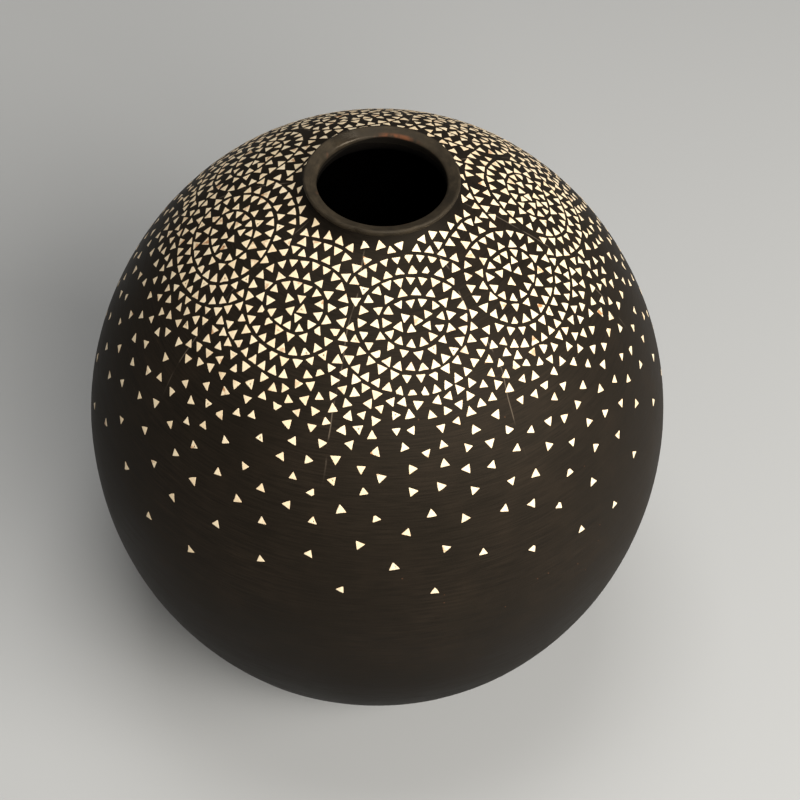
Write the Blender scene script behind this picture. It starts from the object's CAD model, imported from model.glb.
"""The looks of a black clay pot with cream three-cornered chips set flush in its skin.

Metres, +Z up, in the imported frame: the origin is the middle of the foot, on the floor. The skin,
the clay and the lip are turned from outlines. Each chip is rebuilt where its CAD solid is.
"""

import math
import random

import bpy
import numpy as np
from mathutils import Matrix, Vector, noise


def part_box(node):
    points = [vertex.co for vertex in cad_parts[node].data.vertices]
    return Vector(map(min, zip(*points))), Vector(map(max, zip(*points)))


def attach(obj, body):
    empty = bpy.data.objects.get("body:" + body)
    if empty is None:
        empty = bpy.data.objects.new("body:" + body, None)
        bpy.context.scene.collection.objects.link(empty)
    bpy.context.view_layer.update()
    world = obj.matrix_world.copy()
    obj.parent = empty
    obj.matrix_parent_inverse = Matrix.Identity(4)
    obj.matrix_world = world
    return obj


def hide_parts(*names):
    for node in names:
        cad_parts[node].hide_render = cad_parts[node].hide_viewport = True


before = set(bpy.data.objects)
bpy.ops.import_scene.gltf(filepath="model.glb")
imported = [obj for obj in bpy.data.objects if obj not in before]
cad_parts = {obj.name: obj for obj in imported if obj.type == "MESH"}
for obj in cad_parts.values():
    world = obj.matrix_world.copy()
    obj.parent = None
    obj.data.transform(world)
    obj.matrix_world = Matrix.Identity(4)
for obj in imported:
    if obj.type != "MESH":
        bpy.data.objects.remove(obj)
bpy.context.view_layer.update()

MM = 0.001

# The body's outline: crown arcs above and below, each with its centre on the axis, and a flatter
# flank arc between them, which both meet with a common tangent. The neck sweeps up from the crown
# in a hollow arc to the lip.
CROWN_R = 85.7 * MM
FLANK_R = 106.4 * MM
JOIN = math.atan2(0.8, 0.6)
BULGE = FLANK_R - CROWN_R
CROWN_RISE = BULGE * math.cos(JOIN)
FLANK_X = -BULGE * math.sin(JOIN)
WALL_T = 4.5 * MM
SKIN_T = 0.8 * MM
FLOOR_Z = 6 * MM
FOOT_R = 36 * MM
SKIN_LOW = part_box("belly_skin")[0].z

LIP_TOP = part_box("rim_coil")[1].z
LIP_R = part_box("rim_coil")[1].x
LIP_RISE = 2.4 * MM
MOUTH_R = 18.5 * MM
EQUATOR = LIP_TOP - LIP_RISE - CROWN_R - CROWN_RISE

NECK_JOIN = math.radians(18.6)
NECK_ROUND = 10 * MM
NECK_MID = (
    (CROWN_R + NECK_ROUND) * math.sin(NECK_JOIN),
    EQUATOR + CROWN_RISE + (CROWN_R + NECK_ROUND) * math.cos(NECK_JOIN),
)
UNDER_LIP = math.radians(13.4)

# How many points go round a turned piece, and how far apart they are along each outline.
AROUND = 288
OUTSIDE_STEP = 1.1 * MM
NECK_STEP = 0.6 * MM
THROAT_STEP = MM
INNER_STEP = 2.5 * MM
HIDDEN_STEP = 6 * MM

ROSETTES = 8
FIRST_SCRATCH = math.radians(-10)
CHIP_R = 3 * MM / math.sqrt(3)
CHIP_DEPTH = 0.5 * MM
CHIP_PROUD = 0.05 * MM
CHIP_NODES = sorted(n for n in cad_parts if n.startswith("rosette_") or n.endswith("_chips"))


# ------------------------------------------------------------------ outlines


def surface_point(polar, inset=0.0):
    """(radius, height) of the body's surface. The polar angle is how far the surface leans from
    level, but on the neck it goes on with the way over the surface, as on the crown."""
    if polar < NECK_JOIN:
        lean = NECK_JOIN + (NECK_JOIN - polar) * CROWN_R / NECK_ROUND
        r = NECK_ROUND + inset
        return NECK_MID[0] - r * math.sin(lean), NECK_MID[1] - r * math.cos(lean)
    if polar <= JOIN or polar >= math.pi - JOIN:
        side = 1 if polar <= JOIN else -1
        r = CROWN_R - inset
        return r * math.sin(polar), EQUATOR + side * CROWN_RISE + r * math.cos(polar)
    r = FLANK_R - inset
    return FLANK_X + r * math.sin(polar), EQUATOR + r * math.cos(polar)


def low_polar(z, inset=0.0):
    """The polar angle at which the lower crown arc, inset, is at height z."""
    return math.acos((z - EQUATOR + CROWN_RISE) / (CROWN_R - inset))


def body_arc(start, end, inset, step):
    """Points along the body's outline from one polar angle to another."""
    count = max(2, int(abs(end - start) * FLANK_R / step))
    return [surface_point(start + (end - start) * i / count, inset) for i in range(count + 1)]


def rounded(corners, steps=6):
    """An outline through corners, each (radius, height, rounding)."""
    points = [Vector(c[:2]) for c in corners]
    out = [points[0]]
    for before, here, after, corner in zip(points, points[1:], points[2:], corners[1:]):
        a = here + (before - here).normalized() * min(corner[2], (before - here).length / 2)
        b = here + (after - here).normalized() * min(corner[2], (after - here).length / 2)
        for i in range(steps + 1):
            t = i / steps
            out.append(a * (1 - t) ** 2 + here * 2 * t * (1 - t) + b * t * t)
    out.append(points[-1])
    return [tuple(p) for p in out]


def skin_outline():
    """A loop: from under the lip down the outside, round the skin's lower edge and up behind."""
    low = low_polar(SKIN_LOW + SKIN_T / 2)
    neck = body_arc(UNDER_LIP, NECK_JOIN, 0, NECK_STEP)
    outside = body_arc(NECK_JOIN, low, 0, OUTSIDE_STEP)
    r, z = surface_point(low)
    hem = [
        (r - 0.15 * SKIN_T, z - 0.3 * SKIN_T),
        (r - 0.5 * SKIN_T, z - 0.45 * SKIN_T),
        (r - 1.2 * SKIN_T, z - 0.4 * SKIN_T),
    ]
    inset = 0.9 * SKIN_T
    behind = body_arc(low - 0.02, NECK_JOIN, inset, HIDDEN_STEP)
    behind_neck = body_arc(NECK_JOIN, UNDER_LIP, inset, THROAT_STEP)
    return neck[:-1] + outside + hem + behind + behind_neck[1:]


def clay_outline():
    """From the middle of the floor inside, up the inner wall and the throat, down under the skin,
    round the foot and under it to its middle."""
    wall = body_arc(low_polar(FLOOR_Z, WALL_T), NECK_JOIN, WALL_T, INNER_STEP)
    floor = [(2 * MM, FLOOR_Z, 0), (wall[0][0] - 4 * MM, FLOOR_Z, 3 * MM), (*wall[2], 0)]
    throat = body_arc(NECK_JOIN, UNDER_LIP, WALL_T, THROAT_STEP)[1:]
    throat = [(r, z) for r, z in throat if r > MOUTH_R]
    under_skin = 1.1 * SKIN_T
    brim = [
        (MOUTH_R + 0.2 * MM, throat[-1][1] + 0.6 * MM),
        (MOUTH_R + 0.2 * MM, LIP_TOP - LIP_RISE),
    ]
    neck = body_arc(UNDER_LIP, NECK_JOIN, under_skin, THROAT_STEP)
    hidden = body_arc(NECK_JOIN, low_polar(SKIN_LOW + SKIN_T, under_skin), under_skin, HIDDEN_STEP)
    foot = [
        (*hidden[-1], 0),
        (FOOT_R + 0.5 * MM, SKIN_LOW - 0.3 * MM, 0.6 * MM),
        (FOOT_R, 0, 0.8 * MM),
        (FOOT_R - 3 * MM, 0, 2 * MM),
        (FOOT_R - 6 * MM, 0.5 * MM, 2 * MM),
        (2 * MM, 0.5 * MM, 0),
    ]
    return rounded(floor) + wall[3:] + throat + brim + neck[:-1] + hidden[:-1] + rounded(foot)


def lip_outline():
    """A loop: up inside the mouth, over the sloping lip, and down its flare to under the skin."""
    return rounded(
        [
            (MOUTH_R + 0.3 * MM, LIP_TOP - 5.2 * MM, 0),
            (MOUTH_R, LIP_TOP - 1.15 * MM, 1.1 * MM),
            (LIP_R - 0.35 * MM, LIP_TOP + 0.12 * MM, 0.7 * MM),
            (LIP_R + 0.02 * MM, LIP_TOP - 0.9 * MM, 0.8 * MM),
            (LIP_R - 0.75 * MM, LIP_TOP - 2.5 * MM, 0.8 * MM),
            (LIP_R - 1.6 * MM, LIP_TOP - 2.9 * MM, 0.4 * MM),
            (LIP_R - 2.2 * MM, LIP_TOP - 5 * MM, 0),
        ],
        steps=8,
    )


# ------------------------------------------------------------------ the hand-made shape

# Each kind of unevenness: how fast it changes along a metre, and how far it stands out in mm.
SWELL_RATE, SWELL = 24, 0.18
DENT_RATE, DENT = 60, 0.06
RIDGE_RATE, RIDGE = 380, 0.025
RIDGE_WANDER = 0.8

# The foot stands flat: no unevenness below the first height, all of it above the second.
EVEN_BELOW = 1 * MM
UNEVEN_ABOVE = 14 * MM

# The lip's own unevenness: how fast each kind changes round the lip, and how far it goes in mm.
# Each nick is (bearing, depth), and NICK_WIDTH is in radians.
LIP_EVEN_BELOW = LIP_TOP - 4 * MM
LIP_UNEVEN_ABOVE = LIP_TOP - 1 * MM
RISE_RATE, RISE = 1.3, 0.25
WIDEN_RATE, WIDEN = 1.1, 0.3
RIPPLE_RATE, RIPPLE = 6, 0.05
RIPPLE_CLIMB = 300
NICKS = ((math.radians(-108), 0.35 * MM), (math.radians(-63), 0.2 * MM))
NICK_WIDTH = 0.045


def eased(x, low, high):
    """0 below low and 1 above high, with a smooth change between them."""
    t = min(1.0, max(0.0, (x - low) / (high - low)))
    return t * t * (3 - 2 * t)


def normal_of(p):
    """The outward direction of the body's surface at or near p."""
    r = math.hypot(p.x, p.y)
    if math.atan2(r, p.z - EQUATOR - CROWN_RISE) < NECK_JOIN:
        outwards = (NECK_MID[0] - r) / max(r, MM)
        return Vector((p.x * outwards, p.y * outwards, NECK_MID[1] - p.z)).normalized()
    side = 1 if p.z > EQUATOR else -1
    if math.atan2(r - FLANK_X, side * (p.z - EQUATOR)) < JOIN:
        return Vector((p.x, p.y, p.z - EQUATOR - side * CROWN_RISE)).normalized()
    outwards = (r - FLANK_X) / r
    return Vector((p.x * outwards, p.y * outwards, p.z - EQUATOR)).normalized()


def on_body(p):
    """The point of the body's even surface at or near p."""
    r = math.hypot(p.x, p.y)
    n = normal_of(p)
    side = 1 if p.z > EQUATOR else -1
    if math.atan2(r, p.z - EQUATOR - CROWN_RISE) < NECK_JOIN:
        off = NECK_ROUND - math.hypot(NECK_MID[0] - r, NECK_MID[1] - p.z)
    elif math.atan2(r - FLANK_X, side * (p.z - EQUATOR)) < JOIN:
        off = math.hypot(r, p.z - EQUATOR - side * CROWN_RISE) - CROWN_R
    else:
        off = math.hypot(r - FLANK_X, p.z - EQUATOR) - FLANK_R
    return p - n * off


def unevenness(p):
    """How far the surface stands out at p, as a hand-built and scraped pot's does."""
    around = Vector((p.x, p.y, 0))
    along = Vector((0, 0, (p.z - around.length) * RIDGE_RATE))
    swells = noise.noise(p * SWELL_RATE) * SWELL
    dents = noise.noise(p * DENT_RATE + Vector((7, 1, 3))) * DENT
    ridges = noise.noise(around.normalized() * RIDGE_WANDER + along) * RIDGE
    return (swells + dents + ridges) * MM * eased(p.z, EVEN_BELOW, UNEVEN_ABOVE)


def shifted(p):
    """p moved out or in by the surface's unevenness."""
    return p + normal_of(p) * unevenness(p)


def shifted_lip(p):
    """The lip also rises, dips and widens a little on its way round, and has two small nicks."""
    around = Vector((p.x, p.y, 0)).normalized()
    free = eased(p.z, LIP_EVEN_BELOW, LIP_UNEVEN_ABOVE)
    rise = noise.noise(around * RISE_RATE + Vector((4, 0, 2))) * RISE * MM
    widen = noise.noise(around * WIDEN_RATE + Vector((0, 9, 5))) * WIDEN * MM
    widen += noise.noise(around * RIPPLE_RATE + Vector((1, 2, p.z * RIPPLE_CLIMB))) * RIPPLE * MM
    for bearing, depth in NICKS:
        away = around.angle(Vector((math.cos(bearing), math.sin(bearing), 0)))
        outer = eased(math.hypot(p.x, p.y), LIP_R - 1.5 * MM, LIP_R)
        widen -= depth * outer * math.exp(-((away / NICK_WIDTH) ** 2))
    return shifted(p) + (around * widen + Vector((0, 0, rise))) * free


# ------------------------------------------------------------------ meshes

# CAD points nearer than this are one corner.
WELD = 2e-3 * MM

# How hand-cut chips vary. Sizes, shares and SIDE_SWAY are fractions, CORNER_SWAY is in degrees,
# and cuts, bevels and pinholes are in mm. SEAT_SWAY is both a slope and a height in mm.
CHIP_SIZES = (0.90, 1.07)
CORNER_SIZES = (0.93, 1.05)
CORNER_SWAY = 2.4
CORNER_STEPS = 4
SIDE_SWAY = 0.05
CORNER_CUT = (0.2, 0.42)
BROKEN_CUT = (0.6, 0.95)
BROKEN_SHARE = 0.07
SEAT_SWAY = 0.012
BEVELS = (0.04, 0.09)
PINHOLE_SHARE = 0.05
PINHOLE_SWAY = 0.15
PINHOLE_RADII = (0.13, 0.22)
PINHOLE_DEPTH = 0.3 * MM


def mesh_object(name, points, faces):
    """A smooth-shaded mesh, in the scene."""
    mesh = bpy.data.meshes.new(name)
    mesh.from_pydata([tuple(p) for p in points], [], faces)
    mesh.polygons.foreach_set("use_smooth", [True] * len(mesh.polygons))
    mesh.update()
    made = bpy.data.objects.new(name, mesh)
    bpy.context.scene.collection.objects.link(made)
    return made


def turned_piece(name, outline, shift, loop):
    """Turns an outline round the axis, with every point moved by shift. A loop closes on itself,
    and any other outline is closed at both ends with a point on the axis."""
    points, faces = [], []
    for r, z in outline:
        for k in range(AROUND):
            a = 2 * math.pi * k / AROUND
            points.append(shift(Vector((r * math.cos(a), r * math.sin(a), z))))
    rings = len(outline)
    for i in range(rings if loop else rings - 1):
        here, there = i * AROUND, (i + 1) % rings * AROUND
        for k in range(AROUND):
            beside = (k + 1) % AROUND
            faces.append((here + k, there + k, there + beside, here + beside))
    if not loop:
        for ring, turn in ((0, -1), (rings - 1, 1)):
            points.append(Vector((0, 0, outline[ring][1])))
            for k in range(AROUND):
                a, b = ring * AROUND + k, ring * AROUND + (k + 1) % AROUND
                faces.append((a, len(points) - 1, b)[::turn])
    return mesh_object(name, points, faces)


def chip_places(node):
    """(middle of the top, direction of one corner) of each CAD chip."""
    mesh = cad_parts[node].data
    index = {}
    welded = []
    for v in mesh.vertices:
        cell = tuple(round(x / WELD) for x in v.co)
        welded.append(index.setdefault(cell, len(index)))
    place = {w: v.co.copy() for w, v in zip(welded, mesh.vertices)}
    leader = list(range(len(index)))

    def lead(i):
        while leader[i] != i:
            leader[i] = leader[leader[i]]
            i = leader[i]
        return i

    for polygon in mesh.polygons:
        first, *others = [welded[v] for v in polygon.vertices]
        for other in others:
            leader[lead(other)] = lead(first)
    chips = {}
    for w, co in place.items():
        chips.setdefault(lead(w), []).append(co)
    places = []
    for corners in chips.values():
        middle = sum(corners, Vector()) / len(corners)
        outward = normal_of(middle)
        top = sorted(corners, key=lambda c: c.dot(outward))[-3:]
        middle = sum(top, Vector()) / 3
        places.append((middle, (top[0] - middle).normalized()))
    return sorted(places, key=lambda p: tuple(p[0]))


def chip_outline(rng):
    """A hand-cut three-cornered outline: five points round each corner and one in each side."""
    size = CHIP_R * rng.uniform(*CHIP_SIZES)
    corners = []
    for k in range(3):
        a = math.radians(120 * k + rng.gauss(0, CORNER_SWAY))
        corners.append(Vector((math.cos(a), math.sin(a))) * size * rng.uniform(*CORNER_SIZES))
    broken = rng.randrange(3) if rng.random() < BROKEN_SHARE else None
    outline = []
    for k in range(3):
        before, here, after = corners[k - 1], corners[k], corners[(k + 1) % 3]
        cut = rng.uniform(*CORNER_CUT) * MM
        if k == broken:
            cut = rng.uniform(*BROKEN_CUT) * MM
        a = here + (before - here).normalized() * cut
        b = here + (after - here).normalized() * cut * rng.uniform(0.8, 1.2)
        bend = here if k != broken else (a + b) / 2
        for i in range(CORNER_STEPS + 1):
            t = i / CORNER_STEPS
            outline.append(a * (1 - t) ** 2 + bend * 2 * t * (1 - t) + b * t * t)
        outline.append((here + after) / 2 * (1 + rng.gauss(0, SIDE_SWAY)))
    return outline


def chip_rings(outline, bevel, hole_at, hole_r):
    """A chip's rings, from its underside up over the bevel and in over the top, and down into its
    pinhole if hole_r is not 0. Each is (points, height, how near the edge from 0 to 1)."""
    rings = [
        (1.0, -CHIP_DEPTH, 1.0),
        (1.0, -bevel, 1.0),
        (1 - 1.1 * bevel / CHIP_R, -0.15 * bevel, 0.6),
        (1 - 3.5 * bevel / CHIP_R, 0.0, 0.12),
        (0.5, 0.0, 0.0),
    ]
    shape = [([p * scale for p in outline], height, rim) for scale, height, rim in rings]
    if hole_r:
        for r, height, rim in ((hole_r, 0.0, 0.4), (hole_r * 0.75, -PINHOLE_DEPTH, 1.0)):
            circle = [hole_at + p.normalized() * r for p in outline]
            shape.append((circle, height, rim))
    return shape


def chip_faces(first, count, rings):
    """The faces of a chip whose rings, of count points each, start at first. The middle of its
    top and the middle of its underside follow the last ring."""
    top = first + rings * count
    last = top - count
    faces = []
    for k in range(count):
        b = (k + 1) % count
        for low in range(first, last, count):
            faces.append((low + k, low + b, low + count + b, low + count + k))
        faces.append((last + k, last + b, top))
        faces.append((first + b, first + k, top + 1))
    return faces


def chips_piece(name, node, seed):
    """One CAD node's chips, each a bevelled plate bent to the surface it is sunk in, some with a
    pinhole. The attribute chip holds a chip's tint, how stained it is, and how near a point is to
    its edge."""
    rng = random.Random(seed)
    points, faces, marks = [], [], []
    for middle, corner in chip_places(node):
        tint, stain = rng.random(), rng.random() ** 5
        tilt = Vector([rng.gauss(0, SEAT_SWAY) for _ in range(3)])
        n = normal_of(middle)
        along = (corner - n * corner.dot(n)).normalized()
        across = n.cross(along)
        lift = CHIP_PROUD + unevenness(middle) + rng.gauss(0, SEAT_SWAY) * MM
        outline = chip_outline(rng)
        hole = rng.random() < PINHOLE_SHARE
        hole_at = Vector([rng.gauss(0, PINHOLE_SWAY) for _ in range(2)]) * MM
        hole_r = rng.uniform(*PINHOLE_RADII) * MM
        bevel = rng.uniform(*BEVELS) * MM

        def placed(p, height):
            flat = middle + along * p.x + across * p.y
            return on_body(flat) + n * (lift + height) + n * (flat - middle).dot(tilt)

        shape = chip_rings(outline, bevel, hole_at, hole_r if hole else 0)
        faces += chip_faces(len(points), len(outline), len(shape))
        for ring, height, rim in shape:
            for p in ring:
                points.append(placed(p, height))
                marks.append((tint, stain if rim < 1 else 1.0, rim, 1.0))
        centre = hole_at if hole else Vector((0, 0))
        points.append(placed(centre, shape[-1][1]))
        marks.append((tint, 1.0 if hole else stain, 1.0 if hole else 0.0, 1.0))
        points.append(placed(Vector((0, 0)), shape[0][1]))
        marks.append((tint, 1.0, 1.0, 1.0))
    made = mesh_object(name, points, faces)
    attribute = made.data.attributes.new("chip", "FLOAT_COLOR", "POINT")
    attribute.data.foreach_set("color", np.array(marks, np.float32).ravel())
    return made


# ------------------------------------------------------------------ materials

# How fast the strokes change round the pot: a larger number makes shorter strokes.
STROKES_ROUND = 5.0


class Shader:
    """A material with a Principled shader, and short ways to add the nodes that feed it."""

    def __init__(self, name, **settings):
        self.material = bpy.data.materials.new(name)
        self.material.use_nodes = True
        self.nodes = self.material.node_tree.nodes
        self.links = self.material.node_tree.links
        self.out = self.nodes["Principled BSDF"]
        for socket, value in settings.items():
            self.out.inputs[socket.replace("_", " ")].default_value = value
        self.place = self.nodes.new("ShaderNodeTexCoord").outputs["Object"]

    def put(self, socket, value):
        if isinstance(value, bpy.types.NodeSocket):
            self.links.new(value, socket)
        else:
            socket.default_value = value

    def math(self, operation, *values):
        made = self.nodes.new("ShaderNodeMath")
        made.operation = operation
        for socket, value in zip(made.inputs, values):
            self.put(socket, value)
        return made.outputs[0]

    def measure(self, operation, *values):
        """The length of a vector, or the distance between two."""
        made = self.nodes.new("ShaderNodeVectorMath")
        made.operation = operation
        for socket, value in zip(made.inputs, values):
            self.put(socket, value)
        return made.outputs["Value"]

    def split(self, vector):
        made = self.nodes.new("ShaderNodeSeparateXYZ")
        self.put(made.inputs[0], vector)
        return made.outputs

    def joined(self, x, y, z):
        made = self.nodes.new("ShaderNodeCombineXYZ")
        for socket, value in zip(made.inputs, (x, y, z)):
            self.put(socket, value)
        return made.outputs[0]

    def noise(self, scale, detail=2.0, at=None, roughness=0.5):
        made = self.nodes.new("ShaderNodeTexNoise")
        made.inputs["Scale"].default_value = scale
        made.inputs["Detail"].default_value = detail
        made.inputs["Roughness"].default_value = roughness
        self.links.new(at or self.place, made.inputs["Vector"])
        return made.outputs["Fac"]

    def ramp(self, value, low, high, to_low=0.0, to_high=1.0):
        made = self.nodes.new("ShaderNodeMapRange")
        made.interpolation_type = "SMOOTHSTEP"
        for socket, number in zip(made.inputs[1:5], (low, high, to_low, to_high)):
            socket.default_value = number
        self.put(made.inputs[0], value)
        return made.outputs[0]

    def mix(self, factor, a, b):
        made = self.nodes.new("ShaderNodeMix")
        made.data_type = "RGBA"
        self.put(made.inputs["Factor"], factor)
        self.put(made.inputs["A"], (*a, 1) if isinstance(a, tuple) else a)
        self.put(made.inputs["B"], (*b, 1) if isinstance(b, tuple) else b)
        return made.outputs["Result"]

    def bump(self, height, distance):
        made = self.nodes.new("ShaderNodeBump")
        made.inputs["Distance"].default_value = distance
        self.links.new(height, made.inputs["Height"])
        self.links.new(made.outputs["Normal"], self.out.inputs["Normal"])

    def colour(self, value):
        self.put(self.out.inputs["Base Color"], value)

    def roughness(self, value):
        self.put(self.out.inputs["Roughness"], value)

    def streaks(self, fineness):
        """Short strokes of noise drawn out round the pot, as a cloth or a brush leaves them."""
        x, y, z = self.split(self.place)
        r = self.measure("LENGTH", self.joined(x, y, 0.0))
        lengths = self.math("DIVIDE", STROKES_ROUND, r)
        along = self.math("MULTIPLY", self.math("SUBTRACT", z, r), fineness)
        at = self.joined(self.math("MULTIPLY", x, lengths), self.math("MULTIPLY", y, lengths), along)
        return self.noise(1.6, 4.0, at, roughness=0.62)

    def specks(self, scale, size, share):
        """Round specks in a share of a grid's cells."""
        made = self.nodes.new("ShaderNodeTexVoronoi")
        made.inputs["Scale"].default_value = scale
        self.links.new(self.place, made.inputs["Vector"])
        near = self.ramp(made.outputs["Distance"], size, size * 0.6)
        chosen = self.math("LESS_THAN", self.split(made.outputs["Color"])[0], share)
        return self.math("MULTIPLY", near, chosen)


SHEEN = (1.0, 0.84, 0.64, 1)
SKIN_DARK = (0.0095, 0.0074, 0.0052)
SKIN_BROWN = (0.0180, 0.0134, 0.0092)
SKIN_SHADED = (0.0022, 0.0018, 0.0014)
SKIN_WORN = (0.032, 0.0215, 0.0135)
FLECK = (0.075, 0.035, 0.018)
SCRATCH = (0.11, 0.085, 0.060)

SCRATCH_TOP = EQUATOR + 96 * MM
SCRATCH_END = EQUATOR + 52 * MM
SCRATCH_EDGE = 0.26 * MM
SCRATCH_CORE = 0.1 * MM
SCRATCH_SWAY = 5 * MM


def scratches(shader):
    """Thin broken lines down the shoulder between each two rosettes, scribed to divide it."""
    x, y, z = shader.split(shader.place)
    step = 2 * math.pi / ROSETTES
    angle = shader.math("ARCTAN2", y, x)
    turn = shader.math("DIVIDE", shader.math("SUBTRACT", angle, FIRST_SCRATCH), step)
    off = shader.math("SUBTRACT", turn, shader.math("ROUND", turn))
    r = shader.measure("LENGTH", shader.joined(x, y, 0.0))
    away = shader.math("MULTIPLY", off, shader.math("MULTIPLY", r, step))
    sway = shader.math("MULTIPLY", shader.math("SUBTRACT", shader.noise(45, 1.0), 0.5), SCRATCH_SWAY)
    gap = shader.math("ABSOLUTE", shader.math("ADD", away, sway))
    near = shader.ramp(gap, SCRATCH_EDGE, SCRATCH_CORE)
    high = shader.ramp(z, SCRATCH_TOP, SCRATCH_TOP - 3 * MM)
    low = shader.ramp(z, SCRATCH_END, SCRATCH_END + 14 * MM)
    worn = shader.ramp(shader.noise(130, 2.0), 0.44, 0.56)
    line = shader.math("MULTIPLY", near, worn)
    return shader.math("MULTIPLY", line, shader.math("MULTIPLY", high, low))


def skin_material():
    """Black slip with brushed strokes round the pot, browner where worn, darker low down and
    under the lip."""
    shader = Shader("burnished black skin", Specular_IOR_Level=0.065, Specular_Tint=SHEEN)
    streaks = shader.streaks(1250)
    broad = shader.noise(22, 3.0)
    brushed = shader.ramp(streaks, 0.32, 0.68)
    tone = shader.math("MULTIPLY", brushed, shader.ramp(broad, 0.3, 0.6, 0.5, 1.0))
    colour = shader.mix(tone, SKIN_DARK, SKIN_BROWN)
    worn = shader.math("MULTIPLY", shader.ramp(streaks, 0.62, 0.72), shader.ramp(broad, 0.45, 0.7))
    clouds = shader.ramp(shader.noise(85, 4.0), 0.45, 0.80, 0.0, 0.16)
    colour = shader.mix(shader.math("MAXIMUM", worn, clouds), colour, SKIN_WORN)
    z = shader.split(shader.place)[2]
    low = shader.ramp(z, EQUATOR + 20 * MM, EQUATOR - 60 * MM, 0.0, 0.75)
    hollow = shader.ramp(z, LIP_TOP - 7 * MM, LIP_TOP - 3.5 * MM, 0.0, 0.5)
    colour = shader.mix(shader.math("ADD", low, hollow), colour, SKIN_SHADED)
    line = scratches(shader)
    colour = shader.mix(shader.math("MULTIPLY", line, 0.7), colour, SCRATCH)
    flecks = shader.specks(330, 0.09, 0.05)
    colour = shader.mix(flecks, colour, FLECK)
    shader.colour(colour)
    fine = shader.ramp(streaks, 0.3, 0.7, 0.0, 0.08)
    shader.roughness(shader.math("ADD", fine, shader.ramp(broad, 0.3, 0.7, 0.47, 0.55)))
    grain = shader.noise(1500, 2.0)
    ridges = shader.math("MULTIPLY", streaks, 0.4)
    height = shader.math("ADD", ridges, shader.math("MULTIPLY", grain, 0.25))
    height = shader.math("SUBTRACT", height, shader.math("MULTIPLY", line, 0.8))
    shader.bump(height, 0.07 * MM)
    return shader.material


LIP_DARK = (0.018, 0.0142, 0.0096)
LIP_BROWN = (0.037, 0.0280, 0.0176)
BARE_CLAY = (0.12, 0.043, 0.019)
RUBBED = (0.09, 0.045, 0.026)
SOOT = (0.0008, 0.0007, 0.0006)

# Where the inner edge of the lip is rubbed smooth, at the left and back of the mouth.
SMOOTH_SPOT = (-0.56 * (MOUTH_R + MM), 0.83 * (MOUTH_R + MM), LIP_TOP - 1.2 * MM)


def lip_material():
    """The skin again, browner with handling, worn to the clay at the far edge of the mouth, and
    sooty inside."""
    shader = Shader("handled lip", Specular_IOR_Level=0.2, Specular_Tint=SHEEN)
    x, y, z = shader.split(shader.place)
    streaks = shader.streaks(1100)
    cloud = shader.noise(190, 4.0)
    tone = shader.math("MULTIPLY", shader.ramp(streaks, 0.2, 0.7), shader.ramp(cloud, 0.3, 0.65))
    colour = shader.mix(tone, LIP_DARK, LIP_BROWN)
    r = shader.measure("LENGTH", shader.joined(x, y, 0.0))
    edge = shader.ramp(r, MOUTH_R + 1.5 * MM, MOUTH_R + 0.6 * MM)
    far = shader.math("MULTIPLY", shader.ramp(y, 12 * MM, 17 * MM), shader.ramp(x, -5 * MM, 2 * MM))
    far = shader.math("MULTIPLY", far, shader.ramp(x, 12 * MM, 7 * MM))
    patch = shader.ramp(shader.noise(210, 4.0), 0.33, 0.52)
    wear = shader.math("MULTIPLY", edge, shader.math("MULTIPLY", far, patch))
    colour = shader.mix(wear, colour, BARE_CLAY)
    rub = shader.ramp(shader.noise(260, 3.0), 0.58, 0.72, 0.0, 0.4)
    colour = shader.mix(shader.math("MULTIPLY", rub, edge), colour, RUBBED)
    left = shader.math("SUBTRACT", x, shader.math("MULTIPLY", y, 0.5))
    left = shader.ramp(left, -8 * MM, -20 * MM)
    reach = shader.math("ADD", shader.math("MULTIPLY", left, -1.2 * MM), LIP_TOP - 1.3 * MM)
    depth = shader.math("SUBTRACT", reach, z)
    inside = shader.ramp(r, MOUTH_R + 2.4 * MM, MOUTH_R + 1.9 * MM)
    soot = shader.math("MULTIPLY", inside, shader.ramp(depth, -0.2 * MM, 0.35 * MM))
    shader.colour(shader.mix(soot, colour, SOOT))
    glossy = shader.measure("DISTANCE", shader.place, SMOOTH_SPOT)
    glossy = shader.ramp(glossy, 5.5 * MM, 3 * MM)
    rough = shader.ramp(cloud, 0.3, 0.7, 0.50, 0.64)
    rough = shader.mix(glossy, rough, (0.22, 0.22, 0.22))
    shader.roughness(shader.mix(soot, rough, (1.0, 1.0, 1.0)))
    grain = shader.noise(1300, 2.0)
    ridges = shader.math("ADD", streaks, cloud)
    shader.bump(shader.math("ADD", ridges, shader.math("MULTIPLY", grain, 0.3)), 0.08 * MM)
    return shader.material


CLAY_DARK = (0.020, 0.013, 0.009)
CLAY_BROWN = (0.055, 0.034, 0.023)
CLAY_STREAK = (0.085, 0.052, 0.034)
CLAY_GRIT = (0.13, 0.10, 0.075)
SMOKE = (0.0024, 0.0018, 0.0013)


def clay_material():
    """Black with smoke inside, and brown clay where the foot is bare."""
    shader = Shader("smoked clay", Specular_IOR_Level=0.03)
    z = shader.split(shader.place)[2]
    streaks = shader.streaks(500)
    cloud = shader.noise(60, 4.0)
    tone = shader.ramp(cloud, 0.3, 0.7)
    brown = shader.mix(tone, CLAY_DARK, CLAY_BROWN)
    streaked = shader.math("MULTIPLY", shader.ramp(streaks, 0.5, 0.75), 0.5)
    brown = shader.mix(streaked, brown, CLAY_STREAK)
    brown = shader.mix(shader.specks(600, 0.16, 0.12), brown, CLAY_GRIT)
    black = shader.mix(tone, SOOT, SMOKE)
    shader.colour(shader.mix(shader.ramp(z, 5.4 * MM, 3.6 * MM), black, brown))
    shader.roughness(shader.ramp(cloud, 0.3, 0.7, 0.75, 0.95))
    grain = shader.noise(1100, 4.0, roughness=0.65)
    shader.bump(shader.math("ADD", streaks, shader.math("MULTIPLY", grain, 0.8)), 0.16 * MM)
    return shader.material


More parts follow.
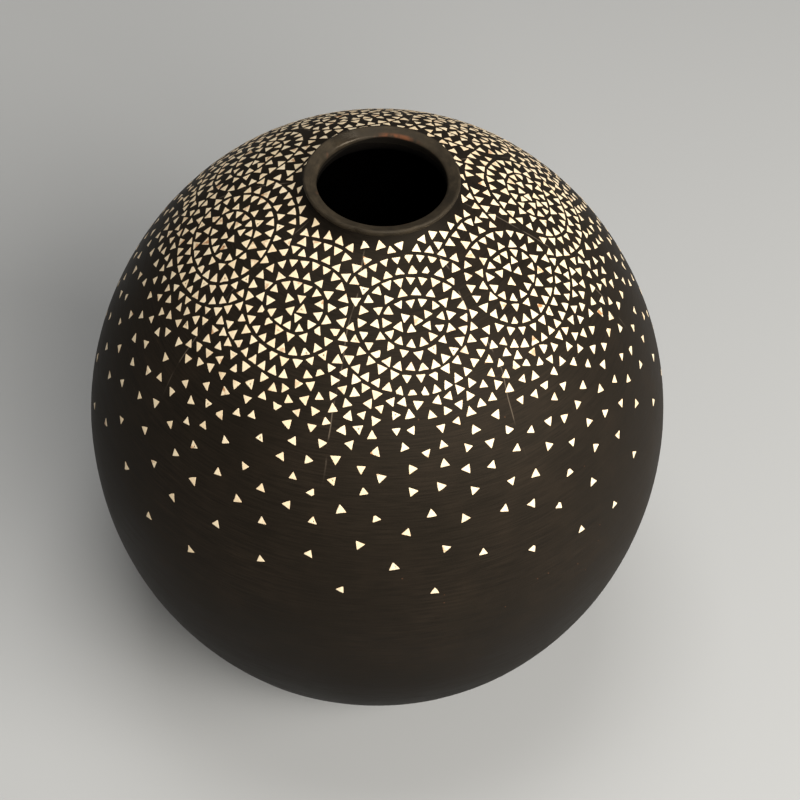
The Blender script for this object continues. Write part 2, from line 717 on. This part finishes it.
CREAM = (0.82, 0.64, 0.40)
IVORY = (0.88, 0.74, 0.51)
TAN = (0.60, 0.34, 0.14)
STAIN = (0.42, 0.19, 0.07)
SPOT = (0.20, 0.09, 0.04)
BED = (0.045, 0.028, 0.018)


def chip_material():
    """Cream, tinted chip by chip, with stains, small spots, tan edges and a dark bed round each."""
    shader = Shader("cream chips", Specular_IOR_Level=0.35)
    made = shader.nodes.new("ShaderNodeAttribute")
    made.attribute_name = "chip"
    tint, stain, rim = shader.split(made.outputs["Color"])
    cloud = shader.noise(900, 3.0)
    tone = shader.math("MULTIPLY", tint, 0.7)
    tone = shader.math("ADD", tone, shader.math("MULTIPLY", cloud, 0.3))
    colour = shader.mix(tone, CREAM, IVORY)
    patch = shader.ramp(shader.noise(480, 2.0), 0.50, 0.68)
    colour = shader.mix(shader.math("MULTIPLY", stain, patch), colour, STAIN)
    colour = shader.mix(shader.specks(1100, 0.16, 0.02), colour, SPOT)
    fringe = shader.math("MULTIPLY", shader.ramp(rim, 0.05, 0.6), shader.ramp(cloud, 0.35, 0.65))
    colour = shader.mix(shader.math("MULTIPLY", fringe, 0.8), colour, TAN)
    strength = shader.ramp(stain, 0.0, 1.0, 0.6, 1.0)
    deep = shader.math("MULTIPLY", shader.ramp(rim, 0.45, 1.0), strength)
    shader.colour(shader.mix(deep, colour, BED))
    shader.roughness(shader.ramp(cloud, 0.3, 0.7, 0.42, 0.58))
    shader.bump(shader.noise(1700, 3.0), 0.03 * MM)
    return shader.material


# ------------------------------------------------------------------ the pieces


def put_in_frame(piece, material, slot, *nodes):
    """Hands a piece over to the frame in place of the CAD nodes it shows."""
    piece.data.materials.append(material)
    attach(piece, "root")
    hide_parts(*nodes)


put_in_frame(
    turned_piece("pot_skin", skin_outline(), shifted, loop=True),
    skin_material(), "black_skin", "crown_skin", "belly_skin",
)
put_in_frame(
    turned_piece("pot_clay", clay_outline(), shifted, loop=False),
    clay_material(), "clay", "clay_body",
)
put_in_frame(
    turned_piece("pot_lip", lip_outline(), shifted_lip, loop=True),
    lip_material(), "lip_clay", "rim_coil",
)
cream = chip_material()
for seed, node in enumerate(CHIP_NODES):
    put_in_frame(chips_piece("inlay_" + node, node, seed), cream, "cream_chip", node)


# ------------------------------------------------------------------ floor, light and camera


FLOOR_COLOUR = (0.40, 0.40, 0.39, 1)
FLOOR_REACH = 3.0

# Each lamp's name, place, width in metres, power in watts and colour. All aim at the pot's middle.
WARM = (1.0, 0.98, 0.95)
WHITE = (1.0, 1.0, 1.0)
LAMPS = (
    ("key", (0.43, -0.98, 0.99), 0.7, 19, WARM),
    ("side", (0.98, -0.52, 0.62), 0.6, 14, WARM),
    ("top", (0.0, 0.1, 1.3), 0.6, 7, WHITE),
)
SKY_STRENGTH = 0.1


def make_floor():
    square = ((-1, -1), (1, -1), (1, 1), (-1, 1))
    corners = [Vector((x * FLOOR_REACH, y * FLOOR_REACH, 0)) for x, y in square]
    floor = mesh_object("floor", corners, [(0, 1, 2, 3)])
    floor.data.materials.append(
        Shader("pale floor", Base_Color=FLOOR_COLOUR, Roughness=0.9).material
    )


def area_light(name, place, size, power, colour):
    light = bpy.data.lights.new(name, "AREA")
    light.size = size
    light.energy = power
    light.color = colour
    made = bpy.data.objects.new(name, light)
    made.location = place
    aim = Vector((0, 0, EQUATOR)) - made.location
    made.rotation_mode = "QUATERNION"
    made.rotation_quaternion = aim.to_track_quat("-Z", "Y")
    bpy.context.scene.collection.objects.link(made)


def make_light():
    for lamp in LAMPS:
        area_light(*lamp)
    world = bpy.data.worlds.new("studio")
    world.use_nodes = True
    sky = world.node_tree.nodes["Background"]
    sky.inputs["Color"].default_value = (*WHITE, 1)
    sky.inputs["Strength"].default_value = SKY_STRENGTH
    bpy.context.scene.world = world
    bpy.context.scene.view_settings.view_transform = "Standard"


# The camera looks down at the pot from the front, leans a little to one side, and has the pot's
# middle a little left of and below its own axis.
LOOK_DOWN = math.radians(48.33)
LEAN = math.radians(1.67)
DISTANCE = 720 * MM
ASIDE = 7.1 * MM
ABOVE = 3.5 * MM
FIELD_OF_VIEW = math.radians(19.97)


def make_camera():
    forward = Vector((0, math.cos(LOOK_DOWN), -math.sin(LOOK_DOWN)))
    level = Vector((1, 0, 0))
    upright = level.cross(forward)
    right = math.cos(LEAN) * level + math.sin(LEAN) * upright
    up = math.cos(LEAN) * upright - math.sin(LEAN) * level
    data = bpy.data.cameras.new("camera")
    data.sensor_width = 36
    data.lens = data.sensor_width / 2 / math.tan(FIELD_OF_VIEW / 2)
    data.clip_start = 0.01
    camera = bpy.data.objects.new("camera", data)
    turn = Matrix((right, up, -forward)).transposed().to_4x4()
    middle = Vector((0, 0, EQUATOR))
    place = middle - forward * DISTANCE + right * ASIDE + up * ABOVE
    camera.matrix_world = Matrix.Translation(place) @ turn
    bpy.context.scene.collection.objects.link(camera)
    bpy.context.scene.camera = camera


make_floor()
make_light()
make_camera()
